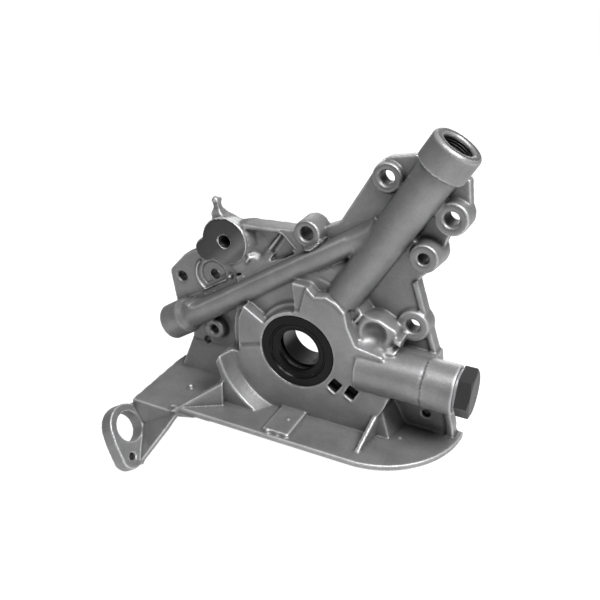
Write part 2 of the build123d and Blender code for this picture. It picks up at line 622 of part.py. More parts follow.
def port(first_angle, last_angle):
    reach = 2 * RING_R
    middle = -OFFSET / 2
    with BuildSketch(front(GEAR_FRONT - 0.5)) as kidney:
        with Locations((-OFFSET, 0)):
            Circle(ROOT_OUT - 0.3)
        Circle(ROOT_IN + 0.8, mode=Mode.SUBTRACT)
        with BuildLine():
            rays = [math.radians(first_angle + (last_angle - first_angle) * step / 3) for step in range(4)]
            Polyline((middle, 0), *[(middle + reach * math.cos(a), reach * math.sin(a)) for a in rays], close=True)
        make_face(mode=Mode.INTERSECT)
    extrude(kidney.sketch, amount=KIDNEY_DEPTH + 0.5, dir=(0, -1, 0), mode=Mode.SUBTRACT)


def cut_rear_recess(points, keep):
    with BuildSketch(front(-1)) as recess:
        with BuildLine():
            Polyline(*points, close=True)
        make_face()
        for x, z, r in keep:
            with Locations((x, z)):
                Circle(r, mode=Mode.SUBTRACT)
    extrude(recess.sketch, amount=4, dir=(0, -1, 0), mode=Mode.SUBTRACT)


def cut_rear():
    cut_rear_recess([(48, -40), (91, -40), (79, 2), (63, 47), (56, 52), (46, 38), (45, 10)],
                    [(68.5, 26.9, 12), (SPILL_X, RELIEF_Z, 6)])
    cut_rear_recess([(26, 74), (43, 103), (56, 122), (86, 113), (78, 96), (62, 84), (48, 60), (34, 60)],
                    [(45.5, 116, 13), (85.5, 99.5, 14), (73, 75, 14)])
    cut_rear_recess([(-96, 8), (-60, 8), (-52, 22), (-52, 42), (-84, 34)], [(-71.5, 30.5, 8), (-97.5, 23.6, 9)])
    cut_rear_recess([(-42, 68), (-16, 69), (-10, 58), (-22, 50), (-42, 46)], [(-59.5, 58.8, 14), (-1, 75.3, 12)])


with BuildPart() as pump_housing:
    add_plate()
    add_body()
    add_guard()
    add_flange()
    trim_sump_face()
    add_tubes()
    add_relief()
    add_bosses()
    add_webs()
    add_bracket()
    cut_bolt_holes()
    cut_pockets()
    cut_seal_and_gears()
    cut_passages()
    port(-20, -135)
    port(20, 135)
    cut_rear()
pump_housing.part.label = "pump_housing"
export_step(pump_housing.part, "parts/pump_housing.step")
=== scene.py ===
import json
import math

import bmesh
import bpy
import numpy as np
from mathutils import Matrix, Vector


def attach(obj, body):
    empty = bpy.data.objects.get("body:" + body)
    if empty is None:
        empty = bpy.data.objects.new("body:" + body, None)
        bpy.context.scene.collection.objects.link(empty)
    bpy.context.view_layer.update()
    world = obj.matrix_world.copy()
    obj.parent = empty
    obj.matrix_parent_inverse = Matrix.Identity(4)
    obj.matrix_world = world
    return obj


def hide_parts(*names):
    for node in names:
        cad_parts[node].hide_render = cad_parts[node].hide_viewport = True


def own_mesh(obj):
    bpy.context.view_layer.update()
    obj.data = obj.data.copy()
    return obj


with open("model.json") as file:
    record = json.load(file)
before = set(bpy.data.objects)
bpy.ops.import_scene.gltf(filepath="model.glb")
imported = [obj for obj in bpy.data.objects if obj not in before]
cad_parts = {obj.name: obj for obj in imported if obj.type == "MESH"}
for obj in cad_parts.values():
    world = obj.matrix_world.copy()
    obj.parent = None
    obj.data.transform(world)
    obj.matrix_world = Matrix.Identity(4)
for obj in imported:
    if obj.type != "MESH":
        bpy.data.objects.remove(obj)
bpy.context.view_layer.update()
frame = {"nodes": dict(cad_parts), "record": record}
nodes = frame["nodes"]
mounts = {mount["name"]: mount for mount in frame["record"]["mounts"]}
MM = 0.001


def new_object(name, data):
    made = bpy.data.objects.new(name, data)
    bpy.context.scene.collection.objects.link(made)
    return made


# Camera

CAMERA_PLACE = (0.1748, -0.3993, 0.2435)
CAMERA_AZIMUTH = math.radians(25.08)
CAMERA_ELEVATION = math.radians(26.79)
CAMERA_ROLL = math.radians(1.11)


def make_camera():
    level = math.cos(CAMERA_ELEVATION)
    look = Vector((-math.sin(CAMERA_AZIMUTH) * level, math.cos(CAMERA_AZIMUTH) * level,
                   -math.sin(CAMERA_ELEVATION)))
    right = Vector((math.cos(CAMERA_AZIMUTH), math.sin(CAMERA_AZIMUTH), 0))
    up = right.cross(look)
    right_rolled = right * math.cos(CAMERA_ROLL) + up * math.sin(CAMERA_ROLL)
    up_rolled = up * math.cos(CAMERA_ROLL) - right * math.sin(CAMERA_ROLL)
    data = bpy.data.cameras.new("camera")
    data.lens = 45
    data.sensor_width = 36
    data.clip_start = 0.01
    camera = new_object("camera", data)
    turn = Matrix((right_rolled, up_rolled, -look)).transposed()
    camera.matrix_world = Matrix.Translation(CAMERA_PLACE) @ turn.to_4x4()
    bpy.context.scene.camera = camera


# Lights, world and floor

FLOOR_Z = -0.0935
FLOOR_HALF = 4.0
FLOOR_COLOR = (0.93, 0.93, 0.93, 1)
FLOOR_GLOW = 1.36
FLOOR_GLOW_SHARE = 0.72
WHITE = (1, 1, 1, 1)
WORLD_DIM = 0.10
WORLD_SEEN = 1.0
REFLECTED = 0.16
# name, place in metres, size in metres, power in watts
LAMPS = (("key", (0.45, -0.20, 0.60), 0.3, 6.6),
         ("overhead", (0.1, -0.5, 1.1), 0.5, 7.1),
         ("behind", (-0.3, 1.2, 0.15), 0.8, 7))


def area_light(name, place, size, power):
    data = bpy.data.lights.new(name, "AREA")
    data.shape = "DISK"
    data.size = size
    data.energy = power
    lamp = new_object(name, data)
    lamp.location = place
    lamp.rotation_euler = (-Vector(place)).to_track_quat("-Z", "Y").to_euler()


def node_tree(material):
    material.use_nodes = True
    tree = material.node_tree
    tree.nodes.clear()
    return tree


def math_node(tree, operation, first, second):
    node = tree.nodes.new("ShaderNodeMath")
    node.operation = operation
    for socket, value in zip(node.inputs, (first, second)):
        if isinstance(value, (int, float)):
            socket.default_value = value
        else:
            tree.links.new(value, socket)
    return node.outputs[0]


def seen_or_reflected(tree):
    path = tree.nodes.new("ShaderNodeLightPath")
    reflected = math_node(tree, "MULTIPLY", path.outputs["Is Glossy Ray"], REFLECTED)
    seen = math_node(tree, "MAXIMUM", path.outputs["Is Camera Ray"], reflected)
    return math_node(tree, "MAXIMUM", seen, path.outputs["Is Transmission Ray"])


def mixed(tree, share, first, second):
    mix = tree.nodes.new("ShaderNodeMixShader")
    for socket, value in zip(mix.inputs, (share, first, second)):
        tree.links.new(value, socket)
    return mix.outputs[0]


def background(tree, strength):
    node = tree.nodes.new("ShaderNodeBackground")
    node.inputs["Color"].default_value = WHITE
    node.inputs["Strength"].default_value = strength
    return node.outputs[0]


def make_world():
    world = bpy.data.worlds.new("studio")
    bpy.context.scene.world = world
    tree = node_tree(world)
    out = tree.nodes.new("ShaderNodeOutputWorld")
    mix = mixed(tree, seen_or_reflected(tree), background(tree, WORLD_DIM), background(tree, WORLD_SEEN))
    tree.links.new(mix, out.inputs["Surface"])


def make_floor():
    mesh = bpy.data.meshes.new("floor")
    corners = ((-1, -1), (1, -1), (1, 1), (-1, 1))
    mesh.from_pydata([(x * FLOOR_HALF, y * FLOOR_HALF, FLOOR_Z) for x, y in corners], [], [(0, 1, 2, 3)])
    floor = new_object("floor", mesh)
    material = bpy.data.materials.new("floor")
    tree = node_tree(material)
    out = tree.nodes.new("ShaderNodeOutputMaterial")
    matte = tree.nodes.new("ShaderNodeBsdfDiffuse")
    matte.inputs["Color"].default_value = FLOOR_COLOR
    glow = tree.nodes.new("ShaderNodeEmission")
    glow.inputs["Color"].default_value = WHITE
    glow.inputs["Strength"].default_value = FLOOR_GLOW
    share = math_node(tree, "MULTIPLY", seen_or_reflected(tree), FLOOR_GLOW_SHARE)
    tree.links.new(mixed(tree, share, matte.outputs[0], glow.outputs[0]), out.inputs["Surface"])
    mesh.materials.append(material)


# Materials

# edges: wear and painted highlight on convex edges, painted shade in concave creases; crevices: painted shade
# where ambient occlusion is found
EDGE_WEAR_HIGHLIGHT_AND_CREASE_SHADE = ((0.445, 0.10), (0.475, 0.26), (0.495, 0.37), (0.508, 0.41), (0.520, 0.56), (0.548, 1.0))
CREVICE_REACH = 0.012
CREVICE_PAINTED_SHADE = ((0.1, 0.3), (0.65, 1.0))
# span and bands of the painted sheen and painted shade across the pad
SHEEN_FROM = -0.1416
SHEEN_TO = -0.0950
SHEEN_BANDS = ((0.0, 0.30), (0.50, 0.34), (0.64, 0.62), (0.78, 1.0), (0.88, 0.6))
GRAIN_DEPTH = 0.0002
PATCH_SCALE = 32
SPECKLE_SCALE = 800


def noise(tree, place, scale, detail, roughness=0.5):
    node = tree.nodes.new("ShaderNodeTexNoise")
    node.inputs["Scale"].default_value = scale
    node.inputs["Detail"].default_value = detail
    node.inputs["Roughness"].default_value = roughness
    tree.links.new(place, node.inputs["Vector"])
    return node.outputs["Fac"]


def ramp(tree, value, stops):
    node = tree.nodes.new("ShaderNodeValToRGB")
    elements = node.color_ramp.elements
    while len(elements) < len(stops):
        elements.new(0.5)
    for element, (position, color) in zip(elements, stops):
        element.position = position
        element.color = (*color, 1) if isinstance(color, tuple) else (color, color, color, 1)
    tree.links.new(value, node.inputs[0])
    return node.outputs[0]


def tinted(tree, first, second):
    node = tree.nodes.new("ShaderNodeMix")
    node.data_type = "RGBA"
    node.blend_type = "MULTIPLY"
    node.inputs["Factor"].default_value = 1.0
    tree.links.new(first, node.inputs["A"])
    tree.links.new(second, node.inputs["B"])
    return node.outputs["Result"]


# bright edges, partly rubbed wear and partly a painted highlight; painted shade in creases and hollows,
# darker where ambient occlusion finds them
def with_wear_and_painted_light(tree, tone):
    edge = tree.nodes.new("ShaderNodeNewGeometry").outputs["Pointiness"]
    tone = tinted(tree, tone, ramp(tree, edge, EDGE_WEAR_HIGHLIGHT_AND_CREASE_SHADE))
    crevice = tree.nodes.new("ShaderNodeAmbientOcclusion")
    crevice.inputs["Distance"].default_value = CREVICE_REACH
    crevice.samples = 6
    return tinted(tree, tone, ramp(tree, crevice.outputs["AO"], CREVICE_PAINTED_SHADE))


# slanting bands of light and dark across the pad: painted sheen and painted shade standing in for the
# reflection on its turned face
def with_sheen(tree, tone, place):
    parts = tree.nodes.new("ShaderNodeSeparateXYZ")
    tree.links.new(place, parts.inputs[0])
    slant = tree.nodes.new("ShaderNodeMapRange")
    slant.inputs["From Min"].default_value = SHEEN_FROM
    slant.inputs["From Max"].default_value = SHEEN_TO
    tree.links.new(math_node(tree, "SUBTRACT", parts.outputs["X"], parts.outputs["Z"]), slant.inputs["Value"])
    return tinted(tree, tone, ramp(tree, slant.outputs["Result"], SHEEN_BANDS))


def metal(name, color, metallic, roughness, grain, grain_size=900, mottle=0.1, rough_spread=0.08,
          speckle=0.0, shine=0.5, wear_and_painted_light=False, sheen=False):
    material = bpy.data.materials.new(name)
    tree = node_tree(material)
    out = tree.nodes.new("ShaderNodeOutputMaterial")
    shader = tree.nodes.new("ShaderNodeBsdfPrincipled")
    shader.inputs["Metallic"].default_value = metallic
    shader.inputs["Specular IOR Level"].default_value = shine
    place = tree.nodes.new("ShaderNodeTexCoord").outputs["Object"]
    patches = noise(tree, place, PATCH_SCALE, 7, 0.62)
    tone = ramp(tree, patches, [(0.3, tuple(c * (1 - mottle) for c in color)),
                                (0.7, tuple(c * (1 + mottle) for c in color))])
    if speckle:
        specks = noise(tree, place, SPECKLE_SCALE, 3)
        tone = tinted(tree, tone, ramp(tree, specks, [(0.3, 1 - speckle), (0.7, 1.0)]))
    if wear_and_painted_light:
        tone = with_wear_and_painted_light(tree, tone)
    if sheen:
        tone = with_sheen(tree, tone, place)
    tree.links.new(tone, shader.inputs["Base Color"])
    rough = tree.nodes.new("ShaderNodeMapRange")
    rough.inputs["To Min"].default_value = roughness - rough_spread
    rough.inputs["To Max"].default_value = roughness + rough_spread
    tree.links.new(patches, rough.inputs["Value"])
    tree.links.new(rough.outputs["Result"], shader.inputs["Roughness"])
    bump = tree.nodes.new("ShaderNodeBump")
    bump.inputs["Strength"].default_value = grain
    bump.inputs["Distance"].default_value = GRAIN_DEPTH
    tree.links.new(noise(tree, place, grain_size, 5), bump.inputs["Height"])
    tree.links.new(bump.outputs["Normal"], shader.inputs["Normal"])
    tree.links.new(shader.outputs[0], out.inputs["Surface"])
    return material


# the cast housing carries the edge wear, painted edge highlight and painted crease shade
cast = metal("cast_aluminium", (0.59, 0.59, 0.598), 0.5, 0.42, 0.6, mottle=0.24, speckle=0.12, wear_and_painted_light=True)
machined = metal("machined_aluminium", (0.20, 0.20, 0.203), 0.7, 0.32, 0.15, 1500, mottle=0.05)
# dark pad worn by its washer, with painted sheen and painted shade in slanting bands
pad_wear_and_painted_sheen = metal("pad_wear_and_painted_sheen", (0.15, 0.15, 0.154), 0.7, 0.30, 0.2, 1300, mottle=0.25, sheen=True)
# near-black threads: painted shade for the inside of the tapped holes
thread_painted_shade = metal("thread_painted_shade", (0.05, 0.05, 0.05), 0.7, 0.35, 0.1, mottle=0.05)
# near black: painted shade inside the holes, bores and windows
bore_painted_shade = metal("painted_shade_bore", (0.02, 0.02, 0.021), 0.3, 0.5, 0.2, mottle=0.3)
black_rubber = metal("glossy_rubber", (0.002, 0.002, 0.0022), 0.0, 0.24, 0.1, rough_spread=0.05, shine=0.16)
dark_steel = metal("dark_steel", (0.027, 0.027, 0.028), 0.1, 0.5, 0.35, 1400, shine=0.3)
# dark steel, darkened further as painted shade for the inside of the seal's bore
gear_steel = metal("gear_steel", (0.02, 0.02, 0.02), 0.6, 0.28, 0.15)
plate_steel = metal("cover_steel", (0.30, 0.30, 0.30), 0.7, 0.36, 0.2)
screw_steel = metal("screw_steel", (0.09, 0.09, 0.09), 0.6, 0.38, 0.15)
wire_steel = metal("wire_steel", (0.25, 0.25, 0.25), 0.8, 0.3, 0.1)
washer_metal = metal("washer_metal", (0.33, 0.33, 0.34), 0.5, 0.4, 0.2)

NODE_MATERIALS = {
    "pump_housing": cast,
    "inner_gear": gear_steel,
    "outer_gear": gear_steel,
    "cover_plate": plate_steel,
    "cover_screws": screw_steel,
    "seal_case": plate_steel,
    "seal_body": black_rubber,
    "seal_garter_spring": wire_steel,
    "relief_plunger": gear_steel,
    "relief_spring": wire_steel,
    "relief_plug": dark_steel,
    "relief_plug_washer": washer_metal,
    "gallery_plug": screw_steel,
}
for node_name, node_material in NODE_MATERIALS.items():
    nodes[node_name].data.materials.clear()
    nodes[node_name].data.materials.append(node_material)


# Places on the housing, in millimetres of x and z

BODY = 29.5
PAD = (-59.5, 58.8)
PAD_LOBE = (-73.5, 50.5)
LOW_BOLT = (-71.5, 30.5)
EDGE_BOLT = (-97.5, 23.6)
UPPER_BOSS = (-1, 75.3)
DISH = (48, 21.5)
CORNER_BOSS = (68.5, 26.9)
SEAL = (0, 0)
SEAL_SEAT_R = 25.6
GALLERY = (-103.2, -10.3)
GALLERY_COS = 0.835
GALLERY_SIN = 0.55
GALLERY_R = 9.6
TUBE = (25.6, 39.5)
TUBE_RUN = (60.3, 103)
TUBE_LENGTH = 119.4
EYE = (-103.3, -63.2)
EYE_TILT = math.radians(33.2)
# radius and angle of the two windows, seen from the seal's centre
WINDOWS = ((32, -33), (42.8, -27))


def outward(mesh):
    work = bmesh.new()
    work.from_mesh(mesh)
    bmesh.ops.recalc_face_normals(work, faces=work.faces)
    work.to_mesh(mesh)
    work.free()
    return mesh


# Details that join the housing before it is softened

# places are millimetres: x and z on the front, f in front of the block
class Lumps:
    def __init__(self):
        self.verts = []
        self.faces = []

    def add(self, verts, faces):
        start = len(self.verts)
        self.verts += [(x * MM, -f * MM, z * MM) for x, f, z in verts]
        self.faces += [tuple(start + i for i in face) for face in faces]

    def add_capped(self, verts):
        count = len(verts) // 2
        sides = [(i, (i + 1) % count, count + (i + 1) % count, count + i) for i in range(count)]
        self.add(verts, [tuple(reversed(range(count))), tuple(range(count, 2 * count))] + sides)

    def prism(self, outline, f_low, f_high, top=None):
        self.add_capped([(x, f_low, z) for x, z in outline] + [(x, f_high, z) for x, z in top or outline])

    def cone(self, start, end, f, r_start, r_end, steps=48):
        length = math.dist(start, end)
        ux, uz = (end[0] - start[0]) / length, (end[1] - start[1]) / length
        turns = [2 * math.pi * i / steps for i in range(steps)]
        self.add_capped([(x - uz * r * math.cos(a), f + r * math.sin(a), z + ux * r * math.cos(a))
                         for (x, z), r in ((start, r_start), (end, r_end)) for a in turns])

    def ridge(self, start, end, width, f_low, f_high, draft=0.35):
        length = math.dist(start, end)
        ux, uz = (end[0] - start[0]) / length, (end[1] - start[1]) / length

        def corners(half):
            aside, along = uz * half, ux * half
            return [(start[0] - aside, start[1] + along), (start[0] + aside, start[1] - along),
                    (end[0] + aside, end[1] - along), (end[0] - aside, end[1] + along)]

        self.prism(corners(width / 2), f_low, f_high, corners(width / 2 * (1 - draft)))

    @staticmethod
    def between(low, high):
        return [(4 * low + (j + 1) % 4, 4 * low + j, 4 * high + j, 4 * high + (j + 1) % 4) for j in range(4)]

    def arc(self, x, z, r_low, r_high, first, last, f_low, f_high, steps=24):
        narrow = (r_high - r_low) * 0.3
        points = [math.radians(first + (last - first) * i / steps) for i in range(steps + 1)]
        rings = [(r_low, f_low), (r_high, f_low), (r_high - narrow, f_high), (r_low + narrow, f_high)]
        verts = [(x + r * math.cos(a), f, z + r * math.sin(a)) for a in points for r, f in rings]
        faces = [(0, 1, 2, 3), tuple(4 * steps + i for i in (3, 2, 1, 0))]
        for i in range(steps):
            faces += self.between(i, i + 1)
        self.add(verts, faces)

    def eye_ring(self, r_low, r_high, thick, drop, front, steps=40):
        sine, cosine = math.sin(EYE_TILT), math.cos(EYE_TILT)
        verts = []
        faces = []
        for i in range(steps):
            a = 2 * math.pi * i / steps
            for r, deep in ((r_low, 0), (r_high, 0), (r_high, -thick), (r_low, -thick)):
                down = drop + r * math.sin(a)
                verts.append((EYE[0] + sine * down + cosine * deep, front + r * math.cos(a),
                              EYE[1] - cosine * down + sine * deep))
            faces += self.between(i, (i + 1) % steps)
        self.add(verts, faces)

    def ball(self, x, f, z, r, flat=1.0, steps=12):
        row = 2 * steps
        verts = [(x, f + r * flat, z)]
        for i in range(1, steps):
            a = math.pi * i / steps
            for j in range(row):
                b = math.pi * j / steps
                verts.append((x + r * math.sin(a) * math.cos(b), f + r * flat * math.cos(a),
                              z + r * math.sin(a) * math.sin(b)))
        verts.append((x, f - r * flat, z))
        last = len(verts) - 1
        faces = [(0, 1 + j, 1 + (j + 1) % row) for j in range(row)]
        for i in range(steps - 2):
            high, low = 1 + i * row, 1 + (i + 1) * row
            faces += [(high + j, low + j, low + (j + 1) % row, high + (j + 1) % row) for j in range(row)]
        low = 1 + (steps - 2) * row
        faces += [(low + (j + 1) % row, low + j, last) for j in range(row)]
        self.add(verts, faces)

    def mesh(self, name):
        made = bpy.data.meshes.new(name)
        made.from_pydata(self.verts, [], self.faces)
        return outward(made)


def front_details():
    lumps = Lumps()
    # tip of the horn, rim beside the dark pad and the ring round the lower left bolt
    lumps.ball(-70.6, 6.0, 82.0, 3.0, 1.3)
    lumps.arc(*PAD, 17.2, 20.0, -70, 44, 6, 14.6)
    lumps.arc(*LOW_BOLT, 11.6, 14.4, 140, 285, 6, 12.0)
    # rims of the two pockets and lumps of metal under them
    lumps.ridge((-45, 71.8), (-20, 73.2), 2.4, 10, 14.8)
    lumps.ridge((-19.5, 71.9), (-6.5, 58.7), 3.0, 10, 15.0)
    lumps.arc(-36, 45, 6.2, 9.6, 60, 170, 8, 15.8)
    lumps.ridge((-38.5, 41.5), (-28.5, 48.5), 4.2, 8, 15.6)
    lumps.ridge((-58.4, 34), (-57.6, 28), 2.4, 8, 13.0)
    # metal that closes the slits beside the gallery, the pad and the small boss
    lumps.ridge((-99, 4.2), (-54, 33.8), 7.0, 4, 9.7, 0.1)
    lumps.ridge((-81, 15.2), (-60.5, 28.7), 4.4, 5, 12.9, 0.2)
    lumps.prism([(-61, 40.5), (-53, 47.5), (-44, 53), (-37, 45), (-40, 36.2), (-52, 36)], 4, 13.8,
                [(-58, 41.5), (-52, 47), (-44, 52), (-38, 45), (-41, 37.6), (-51, 38)])
    # step of the plateau along the top of the relief boss
    lumps.prism([(33, 18), (38.4, 14.7), (56.4, 11.8), (58.2, 9.4),
                 (57.4, 5.7), (54.7, 4.6), (41, 3.6), (33, 3.6)], 18, 29.4,
                [(33, 18), (38.4, 13.9), (55.8, 11.0), (57.2, 9),
                 (56.6, 6.2), (54.3, 5.3), (41, 4.4), (33, 4.4)])
    # lips under the two windows
    lumps.ridge((22.6, -20.4), (27.0, -23.4), 1.7, 27, 30.3, 0.5)
    lumps.ridge((34.2, -22.6), (38.8, -25.6), 1.7, 27, 30.3, 0.5)
    # band between the gallery and its outer boss
    lumps.cone((-89.8, -1.5), (-86.4, 0.8), 16, 12.3, 9.9)
    # foot of the pad and the lump right of it
    lumps.arc(*PAD, 10.5, 16.4, -110, -15, 5, 15.2)
    lumps.ball(-36.5, 8.2, 61.5, 4.6, 0.55)
    # collar round the upper boss, beside the gallery
    lumps.arc(*UPPER_BOSS, 9.6, 11.8, 200, 330, 8, 14.2)
    # sloped wall of the left plateau, facing up and right
    lumps.prism([(-40, 19.5), (-38.4, 23.7), (-23.6, 14.6), (-26, 11)], 12, 29.4,
                [(-40, 19.5), (-38.4, 22.6), (-23.6, 13.6), (-26, 11)])
    lumps.prism([(-40, 18), (-36.5, 26.8), (-19.5, 17.5), (-24, 10)], 12, 20.6,
                [(-40, 18), (-38.4, 23.4), (-23.6, 14.4), (-24, 10)])
    # arc in the recess over the seal, rim of the dish and the small lug beside the column
    lumps.arc(*SEAL, 26.6, 32.4, 98, 150, 18, 23.6)
    lumps.arc(*DISH, 7.7, 10.4, 0, 360, 18, 22.8)
    lumps.ball(-2.4, 26.4, 28.4, 1.7)
    # metal between the gallery and the tall tube
    lumps.prism([(-20, 38), (-4, 52), (16, 66), (26, 66), (22, 48), (10, 44), (-4, 36)], 6, 14.5)
    lumps.prism([(4, 50), (20, 60), (28, 64), (26, 52), (12, 46)], 10, 19.5)
    # flare where the gallery runs into the tall tube
    lumps.ball(37, 16, 79.5, 8.2)
    lumps.ball(23, 10, 59.5, 7.5)
    lumps.ball(-49, 8.5, 45.5, 5)
    # round lower end of the eye plate
    lumps.eye_ring(4.4, 8.7, 10.3, 17.1, 84.0)
    # beads of the plateau's upper right rim
    rim = ((6.2, 45.4), (10.6, 41.0), (18.7, 42.4), (24.9, 39.6), (31.0, 34.6))
    for start, end in zip(rim, rim[1:]):
        lumps.ridge(start, end, 2.2, 24, 30.1)
    # small marks left by the die on shelf, arm and guard, and nubs at the front of the shelf's step
    for x, f, z, r in ((-78.7, 34.1, -46.6, 1.7), (1.0, 42.3, -44.2, 1.7), (71, 25, -46.6, 1.7),
                       (-52.0, 31.6, -46.0, 1.5), (-6.5, 56.5, -45.2, 2.0), (0.4, 57.0, -45.9, 1.3),
                       (6.2, 56.0, -45.4, 1.8)):
        lumps.ball(x, f, z, r)
    return lumps.mesh("front_details")


# Housing with the soft edges of a casting

VOXEL = 0.0007
EVEN_PASSES = 6
SOFT_PASSES = 60
MACHINED, WORN_PAD_SHEEN, DARK = 1, 2, 3
SPOT_FACE_R = 8.5
PORT_WALL_R = 9.7
PORT_FACE = 6
PORT_DEPTH = 40
WINDOW_R = 5.9
# pocket beside the upper boss: outline, height of its brim, floor and web
POCKET = [(-36, 49), (-6, 60), (-18.5, 71.6), (-45, 69.8), (-45, 54)]
POCKET_BRIM = 13.8
POCKET_FLOOR = 9.2
WEB_TOP = 12.4
# the plate's three levels along the gallery
LEVEL_LEFT, LEVEL_MIDDLE, LEVEL_RIGHT = 10.05, 14.05, 8.05
GALLERY_TOP = 23.6
DISH_BRIM_R = 10.4
DISH_BRIM = 22.8
PLATE_TOP = 8.2
SHELF_Z = -50
HORN_F = 5.5
# centre as x, f and z, radius, and how far the place is softened
SOFT_SPOTS = (((51, 20, 22), 16, 0.75), ((-50, 12, 46), 8, 1.0), ((37, 15, 80), 15, 1.0),
              ((26, 14, 62), 12, 0.9), ((0, 12, 48), 14, 0.8), ((-34, 11, 52), 9, 0.5),
              ((-96.6, 86, -85), 9, 0.4))


def away(x, z, place):
    return np.hypot(x - place[0], z - place[1])


# place, front end and radius of each bolt hole; its mount sits halfway down it
def bolt_holes():
    for name, mount in mounts.items():
        if name.startswith("block_bolt"):
            x, y, z = (c / MM for c in mount["pos_m"])
            yield (x, z), -2 * y, mount["dims"]["r_mm"]


def paint_machined_and_shade(mesh):
    count = len(mesh.polygons)
    centres = np.empty(count * 3)
    normals = np.empty(count * 3)
    mesh.polygons.foreach_get("center", centres)
    mesh.polygons.foreach_get("normal", normals)
    centres = centres.reshape(-1, 3) / MM
    normals = normals.reshape(-1, 3)
    x, f, z = centres[:, 0], -centres[:, 1], centres[:, 2]
    slots = np.zeros(count, dtype=np.int32)
    facing_front = normals[:, 1] < -0.92
    # spot faces round the bolt holes
    for place, top, _ in bolt_holes():
        slots[facing_front & (away(x, z, place) < SPOT_FACE_R) & (f > top) & (f < top + 2.2)] = MACHINED
    # face and bore of the oil port; the bore gets painted shade
    port = mounts["oil_port"]
    axis = np.array(port["axis"])
    middle = np.array(port["pos_m"]) / MM
    along = (centres - middle) @ axis
    slots[(normals @ axis > 0.9) & (along > PORT_FACE)] = MACHINED
    beside = np.linalg.norm(centres - middle - np.outer(along, axis), axis=1)
    inside = (beside < PORT_WALL_R) & (along > -PORT_DEPTH) & (along < PORT_FACE + 0.4)
    slots[inside & (normals @ axis < 0.5)] = DARK
    # block face, sump face, end of the relief boss and the seal's seat
    slots[(normals[:, 1] > 0.95) & (f < 0.6)] = MACHINED
    slots[(normals[:, 2] < -0.95) & (z < -49.4)] = MACHINED
    slots[(normals[:, 0] > 0.95) & (x > 101.2)] = MACHINED
    slots[(away(x, z, SEAL) < SEAL_SEAT_R) & (f > 20)] = MACHINED
    # the pad gets the material with the painted sheen and painted shade
    pad = (away(x, z, PAD) < 16.9) | (away(x, z, PAD_LOBE) < 8.4)
    slots[pad & facing_front & (f > 15.2)] = WORN_PAD_SHEEN
    # inside of the holes and the two windows: painted shade
    for place, top, r in bolt_holes():
        slots[(away(x, z, place) < r + 0.35) & ~facing_front & (f < top - 1.2)] = DARK
    for place, r in ((EDGE_BOLT, 3.5), (LOW_BOLT, 3.5), (PAD, 4.5), (SEAL, 17.4)):
        slots[(away(x, z, place) < r) & ~facing_front & (normals[:, 1] < 0.9) & (f < 24)] = DARK
    for r, degrees in WINDOWS:
        angle = math.radians(degrees)
        hollow = away(x, z, (r * math.cos(angle), r * math.sin(angle))) < WINDOW_R
        slots[hollow & (f > BODY - 8) & (f < BODY - 1)] = DARK
    mesh.polygons.foreach_set("material_index", slots)


def smooth_step(value, low, high):
    t = np.clip((value - low) / (high - low), 0, 1)
    return t * t * (3 - 2 * t)


def edge_distance(x, z, outline):
    inside = np.full(len(x), 1e3)
    for (x0, z0), (x1, z1) in zip(outline, outline[1:] + outline[:1]):
        length = math.dist((x0, z0), (x1, z1))
        inside = np.minimum(inside, ((x1 - x0) * (z - z0) - (z1 - z0) * (x - x0)) / length)
    return inside


